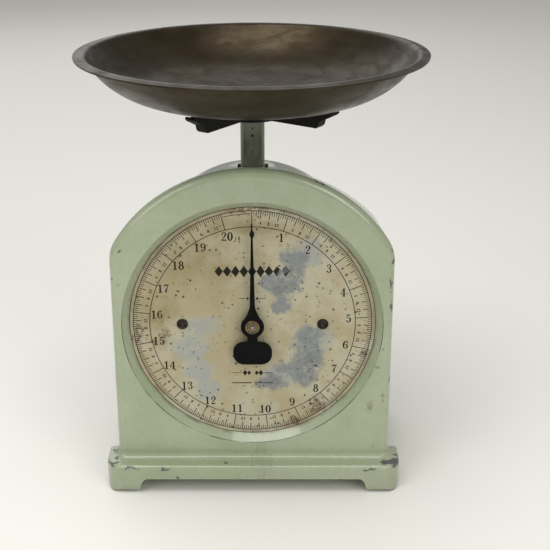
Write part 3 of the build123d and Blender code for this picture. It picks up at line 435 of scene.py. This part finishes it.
PAN_BROWN = (0.035, 0.026, 0.015)
PAN_PALE = (0.056, 0.044, 0.029)
PAN_STREAK = (0.030, 0.018, 0.010)
PAN_LIP_HIGHLIGHT = (0.040, 0.034, 0.026)
PAN_SPECK = (0.015, 0.010, 0.006)


def pan_material():
    """Steel under a brown oxide skin, still glossy, with a painted highlight along the lip."""
    p = Paint("pan_steel")
    broad = p.noise(0.050, 5.0, 0.6)
    streak = p.noise(0.020, 5.0, 0.65, (1.0, 1.0, 3.0), 0.6)
    colour = p.mix(p.ramp(broad, 0.34, 0.68), PAN_BROWN, PAN_PALE)
    colour = p.mix(p.ramp(streak, 0.45, 0.70, 0.0, 0.45), colour, PAN_STREAK)
    # painted highlight: the top of the lip is lightened
    lip = p.ramp(p.z, PAN_TOP - 0.0022, PAN_TOP - 0.0004)
    lip = p.times(lip, p.ramp(p.noise(0.006, 4.0), 0.30, 0.60, 0.4, 1.0))
    colour = p.mix(p.times(lip, 0.7), colour, PAN_LIP_HIGHLIGHT)
    dots = p.specks(0.0075, 0.06, 0.05)
    colour = p.mix(p.times(dots, 0.6), colour, PAN_SPECK)
    scratches = p.noise(0.0016, 3.0, 0.6, (1.0, 0.12, 1.0))
    rough = p.math("ADD", p.ramp(streak, 0.35, 0.70, 0.27, 0.44), p.times(scratches, 0.08))
    relief = p.math("ADD", p.noise(0.012, 3.0), p.times(scratches, 0.06))
    p.shader.inputs["Specular IOR Level"].default_value = 0.25
    return p.finish(colour, rough, 0.85, relief, 0.00012)


METAL_SPECK = (0.05, 0.035, 0.02)
PAINT_SPECK = (0.05, 0.03, 0.015)


def metal(name, colour, dull, roughness):
    """Machined or rolled metal: dull patches, fine scratches, dark specks."""
    p = Paint(name)
    patches = p.noise(0.006, 5.0, 0.6)
    shade = p.mix(p.ramp(patches, 0.38, 0.66), colour, dull)
    dots = p.specks(0.0048, 0.08, 0.06)
    shade = p.mix(p.times(dots, 0.5), shade, METAL_SPECK)
    scratches = p.noise(0.0009, 2.0, 0.6, (0.2, 1.0, 1.0))
    rough = p.ramp(patches, 0.35, 0.70, roughness, roughness + 0.18)
    rough = p.math("ADD", rough, p.times(scratches, 0.08))
    return p.finish(shade, rough, 0.9, p.math("ADD", scratches, patches), 0.00003)


def black_paint(name, base, worn, roughness):
    """Black paint, a little browned, rubbed at small high spots."""
    p = Paint(name)
    patches = p.noise(0.008, 5.0, 0.6)
    shade = p.mix(p.ramp(patches, 0.45, 0.70), base, worn)
    dots = p.specks(0.0035, 0.10, 0.08)
    shade = p.mix(p.times(dots, 0.5), shade, PAINT_SPECK)
    rough = p.ramp(patches, 0.35, 0.70, roughness, roughness + 0.15)
    p.shader.inputs["Specular IOR Level"].default_value = 0.10
    return p.finish(shade, rough, 0.0, p.noise(0.0016, 4.0), 0.00006)


STEM_GREEN = (0.165, 0.175, 0.135)
STEM_PALE = (0.235, 0.235, 0.185)
STEM_SPECK = (0.06, 0.04, 0.02)
STEM_EDGE_HIGHLIGHT = (0.34, 0.34, 0.28)
STEM_HALF_WIDTH = 0.008


def stem_material():
    """Steel under thin dull green paint, with dark specks and a painted highlight along its side edges."""
    p = Paint("stem_steel")
    patches = p.noise(0.010, 5.0, 0.6, (1, 1, 0.4))
    shade = p.mix(p.ramp(patches, 0.38, 0.66), STEM_GREEN, STEM_PALE)
    dots = p.specks(0.005, 0.08, 0.07)
    shade = p.mix(p.times(dots, 0.7), shade, STEM_SPECK)
    # painted highlight: the side edges of the stem are lightened
    edge = p.ramp(p.math("ABSOLUTE", p.x), STEM_HALF_WIDTH - 0.0018, STEM_HALF_WIDTH - 0.0006)
    shade = p.mix(p.times(edge, 0.35), shade, STEM_EDGE_HIGHLIGHT)
    return p.finish(shade, p.ramp(patches, 0.35, 0.7, 0.30, 0.46), 0.35, p.noise(0.004, 4.0), 0.00008)


BRASS = (0.20, 0.155, 0.085)
BRASS_BROWN = (0.10, 0.080, 0.050)
GROOVE_DIRT = (0.035, 0.025, 0.012)
BRASS_GROOVES = (0.0049, 0.0034, 0.0016)         # radii of the grooves in the pointer's bush


def brass_material():
    """Tarnished brass, browner in the turned grooves."""
    p = Paint("old_brass")
    patches = p.noise(0.003, 5.0, 0.6)
    shade = p.mix(p.ramp(patches, 0.38, 0.66), BRASS, BRASS_BROWN)
    for radius in BRASS_GROOVES:
        groove = p.ring(DIAL, radius, 0.00012, 0.00025)
        shade = p.mix(p.times(groove, 0.75), shade, GROOVE_DIRT)
    return p.finish(shade, p.ramp(patches, 0.35, 0.70, 0.26, 0.42), 0.85, patches, 0.00004)


def floor_material():
    """Plain pale paper."""
    p = Paint("floor_paper")
    colour = p.mix(p.noise(0.8, 2.0), (0.82, 0.81, 0.78), (0.84, 0.83, 0.80))
    return p.finish(colour, 0.6)


MATERIALS = {
    "green_enamel": enamel("green_enamel"),
    "cover_paint": enamel("cover_paint"),
    "dial_print": dial_material(),
    "pan_steel": pan_material(),
    "stem_steel": stem_material(),
    "cast_iron": black_paint("cast_iron", (0.006, 0.006, 0.006), (0.018, 0.016, 0.014), 0.45),
    "black_paint": black_paint("black_paint", (0.0012, 0.0014, 0.0014), (0.004, 0.0036, 0.005), 0.42),
    "steel": metal("dull_steel", (0.33, 0.32, 0.30), (0.22, 0.19, 0.15), 0.34),
    "screw_steel": black_paint("screw_steel", (0.022, 0.017, 0.013), (0.075, 0.06, 0.045), 0.40),
    "spring_steel": metal("spring_steel", (0.22, 0.22, 0.23), (0.12, 0.11, 0.10), 0.30),
    "brass": brass_material(),
}
# nodes whose finish differs from the usual one of their slot
SPECIAL = {
    "stem": "stem_steel",
    "dial_screws": "screw_steel",
    "back_cover_screws": "screw_steel",
    "carrier_screw": "screw_steel",
    "dial_plate": "dial_print",
}
node_slots = {part["node"]: part["material_slot"] for part in frame["record"]["subparts"]}
for name, node in frame["nodes"].items():
    material = MATERIALS[SPECIAL.get(name, node_slots[name])]
    if not node.material_slots:
        node.data.materials.append(material)
    for slot in node.material_slots:
        slot.material = material


# ================= dial print =================
INK = ink_material()
INK_Y, INK_T = DIAL.y - 0.00004, 0.00003         # the ink's front face, just proud of the dial; its thickness
# pounds in a full turn of the pointer, pounds marked, ounces in a pound
FULL_TURN, TOP_LOAD, OUNCES = 20.85, 20, 16
SECTOR = 2 * pi / FULL_TURN
OUTER_R, BASE_LINE_R, INNER_R = 79.8, 77.7, 68.8   # the scale's circles, mm
NUMBER_R, SMALL_NUMBER_R = 64.3, 71.6            # circles that the numbers are centred on, mm
DISC_SIDES = 16


def on_dial(x, z):
    """A point on the ink's front face, from a place on the dial in millimetres."""
    return (DIAL.x + x * MM, INK_Y, DIAL.z + z * MM)


def polar(radius, angle):
    """Place on the dial at a radius and at an angle clockwise from the top."""
    return radius * sin(angle), radius * cos(angle)


def catmull(points, steps, closed=False):
    """Smooth curve through the points; each point is (x, z, width)."""
    count = len(points)
    out = []
    last = count if closed else count - 1
    for i in range(last):
        if closed:
            p0, p1, p2, p3 = (points[(i + k - 1) % count] for k in range(4))
        else:
            p0, p1, p2, p3 = (points[min(max(i + k - 1, 0), last)] for k in range(4))
        for s in range(steps):
            t = s / steps
            point = []
            for a, b, c, d in zip(p0, p1, p2, p3):
                square, cube = 2 * a - 5 * b + 4 * c - d, 3 * b - a - 3 * c + d
                point.append(0.5 * (2 * b + (c - a) * t + square * t * t + cube * t**3))
            out.append(tuple(point))
    if not closed:
        out.append(points[-1])
    return out


class Print:
    """Collects flat ribbons of ink on the dial and makes them one piece."""

    def __init__(self, name):
        self.name = name
        self.mesh = bmesh.new()

    def ribbon(self, path, closed=False):
        """path is a list of (x, z, width) on the dial, in millimetres."""
        count = len(path)
        pairs = []
        for i, (x, z, width) in enumerate(path):
            a = path[(i - 1) % count] if closed or i else path[0]
            b = path[(i + 1) % count] if closed or i < count - 1 else path[-1]
            dx, dz = b[0] - a[0], b[1] - a[1]
            length = hypot(dx, dz) or 1.0
            ox, oz = -dz / length * width / 2, dx / length * width / 2
            pairs.append([self.mesh.verts.new(on_dial(x + s * ox, z + s * oz)) for s in (1, -1)])
        for i in range(count if closed else count - 1):
            (a, b), (c, d) = pairs[i], pairs[(i + 1) % count]
            self.mesh.faces.new((a, b, d, c))

    def shape(self, corners):
        """Fills the outline through the corners, each (x, z) on the dial."""
        self.mesh.faces.new([self.mesh.verts.new(on_dial(x, z)) for x, z in corners])

    def disc(self, x, z, radius):
        turn = [2 * pi * k / DISC_SIDES for k in range(DISC_SIDES)]
        self.shape([(x + radius * cos(t), z + radius * sin(t)) for t in turn])

    def circle(self, radius, width, start=0.0, end=2 * pi, steps=336):
        """Ribbon round the dial's centre; it closes on itself when it goes the whole way round."""
        closed = end - start > 2 * pi - 1e-6
        count = steps if closed else steps + 1
        turn = [start + (end - start) * k / steps for k in range(count)]
        self.ribbon([(*polar(radius, t), width) for t in turn], closed)

    def make(self):
        """Gives the flat faces their thickness and rides the piece on the casing."""
        mesh = self.mesh
        for face in mesh.faces:
            face.normal_update()
        bmesh.ops.reverse_faces(mesh, faces=[f for f in mesh.faces if f.normal.y > 0])
        back = bmesh.ops.extrude_face_region(mesh, geom=mesh.faces[:], use_keep_orig=True)
        moved = [g for g in back["geom"] if isinstance(g, bmesh.types.BMVert)]
        bmesh.ops.translate(mesh, verts=moved, vec=(0, INK_T, 0))
        bmesh.ops.reverse_faces(mesh, faces=[g for g in back["geom"] if isinstance(g, bmesh.types.BMFace)])
        bmesh.ops.recalc_face_normals(mesh, faces=mesh.faces[:])
        data = bpy.data.meshes.new(self.name)
        mesh.to_mesh(data)
        mesh.free()
        data.materials.append(INK)
        piece = bpy.data.objects.new(self.name, data)
        bpy.context.scene.collection.objects.link(piece)
        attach(piece, "housing")


# ---- numerals: strokes in a box one unit high and half a unit wide; each point is (x, z, width) ----
THICK, THIN, SLAB = 0.175, 0.070, 0.065          # widths of strokes: main, hairline, serif
OVAL_POINTS = 20


def oval(cx, cz, rx, rz, thick=THICK):
    """Closed ring that is thick at its sides and thin at its top and bottom."""
    ring = []
    for k in range(OVAL_POINTS):
        turn = 2 * pi * k / OVAL_POINTS
        width = THIN + (thick - THIN) * abs(cos(turn)) ** 1.5
        ring.append((cx + rx * cos(turn), cz + rz * sin(turn), width))
    return ring


SIX = [(.40, .84, .05), (.33, .955, .05), (.20, .90, .08), (.085, .66, .13), (.075, .36, .15),
       (.12, .13, .10), (.25, .035, .05), (.38, .12, .11), (.425, .30, .14), (.375, .48, .10),
       (.26, .56, .05), (.15, .50, .05)]
GLYPHS = {
    "0": {"rings": [oval(.25, .50, .175, .465)]},
    "1": {"lines": [[(.26, .02, .15), (.26, .98, .15)], [(.08, .80, .04), (.24, .93, .09)],
                    [(.08, .022, SLAB), (.44, .022, SLAB)]]},
    "2": {"curves": [[(.07, .76, .05), (.12, .91, .05), (.25, .97, .06), (.38, .88, .11), (.41, .72, .14),
                      (.31, .48, .10), (.16, .25, .06), (.06, .08, .05)]],
          "lines": [[(.05, .06, .10), (.24, .07, .13), (.40, .05, .09)], [(.39, .05, .05), (.46, .22, .03)]],
          "dots": [(.12, .755, .075)]},
    "3": {"curves": [[(.08, .80, .05), (.13, .93, .05), (.25, .975, .06), (.37, .88, .10), (.39, .75, .13),
                      (.31, .60, .08), (.18, .54, .05)],
                     [(.18, .54, .05), (.33, .49, .08), (.41, .34, .13), (.39, .17, .13), (.27, .035, .06),
                      (.14, .04, .05), (.07, .17, .05)]],
          "dots": [(.12, .80, .07), (.115, .19, .075)]},
    "4": {"lines": [[(.345, .02, .14), (.345, .98, .14)], [(.33, .97, .05), (.04, .30, .05)],
                    [(.02, .28, .05), (.49, .28, .05)], [(.20, .022, SLAB), (.48, .022, SLAB)]]},
    "5": {"curves": [[(.10, .52, .04), (.20, .60, .05), (.34, .57, .09), (.42, .38, .15), (.37, .15, .12),
                      (.24, .03, .06), (.12, .045, .05), (.06, .16, .05)]],
          "lines": [[(.11, .95, .05), (.10, .50, .045)], [(.10, .91, .12), (.26, .90, .13), (.42, .96, .06)]],
          "dots": [(.11, .185, .07)]},
    "6": {"curves": [SIX], "dots": [(.37, .83, .065)]},
    "7": {"curves": [[(.47, .96, .05), (.35, .68, .07), (.24, .36, .12), (.21, .03, .15)]],
          "lines": [[(.05, .72, .035), (.06, .95, .05)],
                    [(.06, .91, .12), (.25, .89, .14), (.47, .96, .05)]]},
    "8": {"rings": [oval(.25, .745, .135, .225, .13), oval(.25, .28, .175, .245, .15)]},
    "9": {"curves": [[(.5 - x, 1 - z, w) for x, z, w in SIX]], "dots": [(.13, .17, .065)]},
    "L": {"lines": [[(.14, .02, .14), (.14, .98, .14)], [(.03, .022, SLAB), (.44, .022, SLAB)],
                    [(.43, .02, .05), (.46, .30, .03)], [(.03, .978, SLAB), (.26, .978, SLAB)]]},
    "B": {"lines": [[(.12, .02, .14), (.12, .98, .14)], [(.02, .022, SLAB), (.26, .022, SLAB)],
                    [(.02, .978, SLAB), (.26, .978, SLAB)], [(.12, .52, SLAB), (.26, .52, SLAB)]],
          "curves": [[(.25, .978, .05), (.37, .93, .10), (.40, .76, .13), (.34, .57, .09), (.24, .52, .05)],
                     [(.24, .52, .05), (.39, .47, .10), (.44, .28, .14), (.37, .07, .10), (.25, .022, .05)]]},
}
STRETCH = 1.20                                   # the numerals are wider than their drawing


def write(ink, text, x, z, height, turn=0.0, pitch=0.70, smooth=4, weight=1.22):
    """Centres text on a place on the dial, in millimetres.

    turn leans it clockwise, pitch is the step between letters in heights, smooth is how many points
    a curve gets between two of its own, and weight widens the strokes.
    """
    start = -pitch * (len(text) - 1) / 2 - 0.25 * STRETCH

    def place(points, offset):
        out = []
        for gx, gz, width in points:
            px, pz = (gx * STRETCH + offset) * height, (gz - 0.5) * height
            right = x + px * cos(turn) + pz * sin(turn)
            up = z - px * sin(turn) + pz * cos(turn)
            out.append((right, up, width * height * weight))
        return out

    for k, letter in enumerate(text):
        offset = start + k * pitch
        glyph = GLYPHS[letter]
        for ring in glyph.get("rings", ()):
            ink.ribbon(catmull(place(ring, offset), smooth, True), True)
        for curve in glyph.get("curves", ()):
            ink.ribbon(catmull(place(curve, offset), smooth))
        for line in glyph.get("lines", ()):
            ink.ribbon(place(line, offset))
        for dot in place(glyph.get("dots", ()), offset):
            ink.disc(*dot)


# ---- scale: circles, ticks and small ounce numbers ----
LINE, FINE_LINE = 0.50, 0.42                     # widths, mm
END_GAP = 0.01                                   # radians left at each end of the unmarked stretch
rings = Print("dial_scale_circles")
rings.circle(OUTER_R, LINE)
rings.circle(INNER_R, LINE)
rings.circle(BASE_LINE_R, FINE_LINE, TOP_LOAD * SECTOR - 2 * pi + END_GAP, -END_GAP, 24)
rings.make()

POUND_DEPTH = OUTER_R - INNER_R
TICK_DEPTHS = {4: 5.3, 2: 3.2, 1: 2.6}           # by what the ounces are a multiple of, mm
ticks = Print("dial_scale_ticks")
for ounce in range(TOP_LOAD * OUNCES + 1):
    within = ounce % OUNCES
    step = next(s for s in (4, 2, 1) if within % s == 0)
    depth = POUND_DEPTH if within == 0 else TICK_DEPTHS[step]
    width = LINE if within % 4 == 0 else FINE_LINE
    angle = ounce / OUNCES * SECTOR
    ticks.ribbon([(*polar(OUTER_R, angle), width), (*polar(OUTER_R - depth, angle), width)])
ticks.make()

OUNCE_HEIGHT = 2.1
ounce_numbers = Print("dial_ounce_numbers")
for pound in range(TOP_LOAD):
    for ounces in (4, 8, 12):
        angle = (pound + ounces / OUNCES) * SECTOR
        x, z = polar(SMALL_NUMBER_R, angle)
        write(ounce_numbers, str(ounces), x, z, OUNCE_HEIGHT, angle, smooth=2, weight=1.6)
ounce_numbers.make()

# ---- pound numbers stand upright ----
NUMBER_HEIGHT, ZERO_HEIGHT, ZERO_DROP = 5.9, 5.2, 0.6
LB_HEIGHT, LB_RIGHT, LB_DROP = 2.4, 7.0, 1.3     # the small unit beside the last number
numbers = Print("dial_pound_numbers")
write(numbers, "0", *polar(NUMBER_R - ZERO_DROP, 0.0), ZERO_HEIGHT)
for pound in range(1, TOP_LOAD + 1):
    write(numbers, str(pound), *polar(NUMBER_R, pound * SECTOR), NUMBER_HEIGHT)
last_x, last_z = polar(NUMBER_R, TOP_LOAD * SECTOR)
write(numbers, "LB", last_x + LB_RIGHT, last_z - LB_DROP, LB_HEIGHT, pitch=0.78, smooth=2, weight=1.3)
numbers.make()


# ---- plain ornament: a row of lozenges, and smaller lozenges and rules above and below the hub ----
BIG_ROW_Z, UPPER_ROW_Z, LOWER_ROW_Z, RULE_Z = 37.8, 18.5, -36.2, -43.8
BIG_PITCH, BIG_HALF_HEIGHT, BIG_TAPER = 5.5, 4.4, 0.18


def lozenge(ink, x, z, half_width, half_height):
    ink.shape([(x - half_width, z), (x, z + half_height), (x + half_width, z), (x, z - half_height)])


ornament = Print("dial_ornament")
for k in range(-4, 5):
    lozenge(ornament, BIG_PITCH * k, BIG_ROW_Z, BIG_PITCH / 2, BIG_HALF_HEIGHT - BIG_TAPER * abs(k))
for side in (-1, 1):
    ornament.ribbon([(side * 4.6, UPPER_ROW_Z, 0.40), (side * 9.0, UPPER_ROW_Z, 0.40)])
    lozenge(ornament, side * 3.2, UPPER_ROW_Z, 0.9, 1.2)
    lozenge(ornament, side * 5.4, LOWER_ROW_Z, 1.6, 2.2)
    lozenge(ornament, side * 2.6, LOWER_ROW_Z, 1.3, 1.8)
    ornament.ribbon([(side * 8.0, LOWER_ROW_Z, 0.45), (side * 14.0, LOWER_ROW_Z, 0.30)])
    ornament.ribbon([(side * 1.0, RULE_Z, 0.75), (side * 14.5, RULE_Z, 0.55)])
ornament.make()


# ================= stage =================
def sheet(name, half, z):
    """Flat square at height z, reaching half from the middle each way."""
    mesh = bpy.data.meshes.new(name)
    corners = [(-half, -half, z), (half, -half, z), (half, half, z), (-half, half, z)]
    mesh.from_pydata(corners, [], [(0, 1, 2, 3)])
    mesh.materials.append(floor_material())
    plane = bpy.data.objects.new(name, mesh)
    bpy.context.scene.collection.objects.link(plane)
    return plane


sheet("floor", 6.0, 0.0)


def soft_light(name, place, target, size, power, colour=(1.0, 1.0, 1.0)):
    """Square softbox at place, aimed at target."""
    data = bpy.data.lights.new(name, "AREA")
    data.shape = "SQUARE"
    data.size = size
    data.energy = power
    data.color = colour
    lamp = bpy.data.objects.new(name, data)
    bpy.context.scene.collection.objects.link(lamp)
    lamp.location = place
    lamp.rotation_euler = (Vector(target) - Vector(place)).to_track_quat("-Z", "Y").to_euler()


MIDDLE = (0.0, 0.0, 0.13)                        # where the lights aim: the middle of the scale
soft_light("overhead", (-0.20, -0.40, 1.6), MIDDLE, 1.1, 15.0, (1.0, 0.99, 0.96))
soft_light("front_right", (0.95, -1.35, 0.95), MIDDLE, 0.9, 9.0, (1.0, 0.98, 0.95))
soft_light("front_left", (-1.1, -1.2, 1.0), MIDDLE, 0.9, 6.0, (0.99, 0.995, 1.0))
soft_light("back", (-0.4, 1.5, 1.2), MIDDLE, 1.4, 6.0)

world = bpy.data.worlds.new("studio")
world.use_nodes = True
room = world.node_tree.nodes["Background"]
room.inputs["Color"].default_value = (0.80, 0.79, 0.76, 1.0)
room.inputs["Strength"].default_value = 0.50
scene = bpy.context.scene
scene.world = world
scene.view_settings.view_transform = "Standard"

# the photograph's viewing angle: in front of the scale and above it, looking down
camera_data = bpy.data.cameras.new("camera")
camera_data.lens = 75.93
camera_data.sensor_width = 36.0
camera = bpy.data.objects.new("camera", camera_data)
camera.location = (0.01503, -0.75747, 0.43400)
camera.rotation_euler = (radians(68.578), 0.0, 0.0)
scene.collection.objects.link(camera)
scene.camera = camera
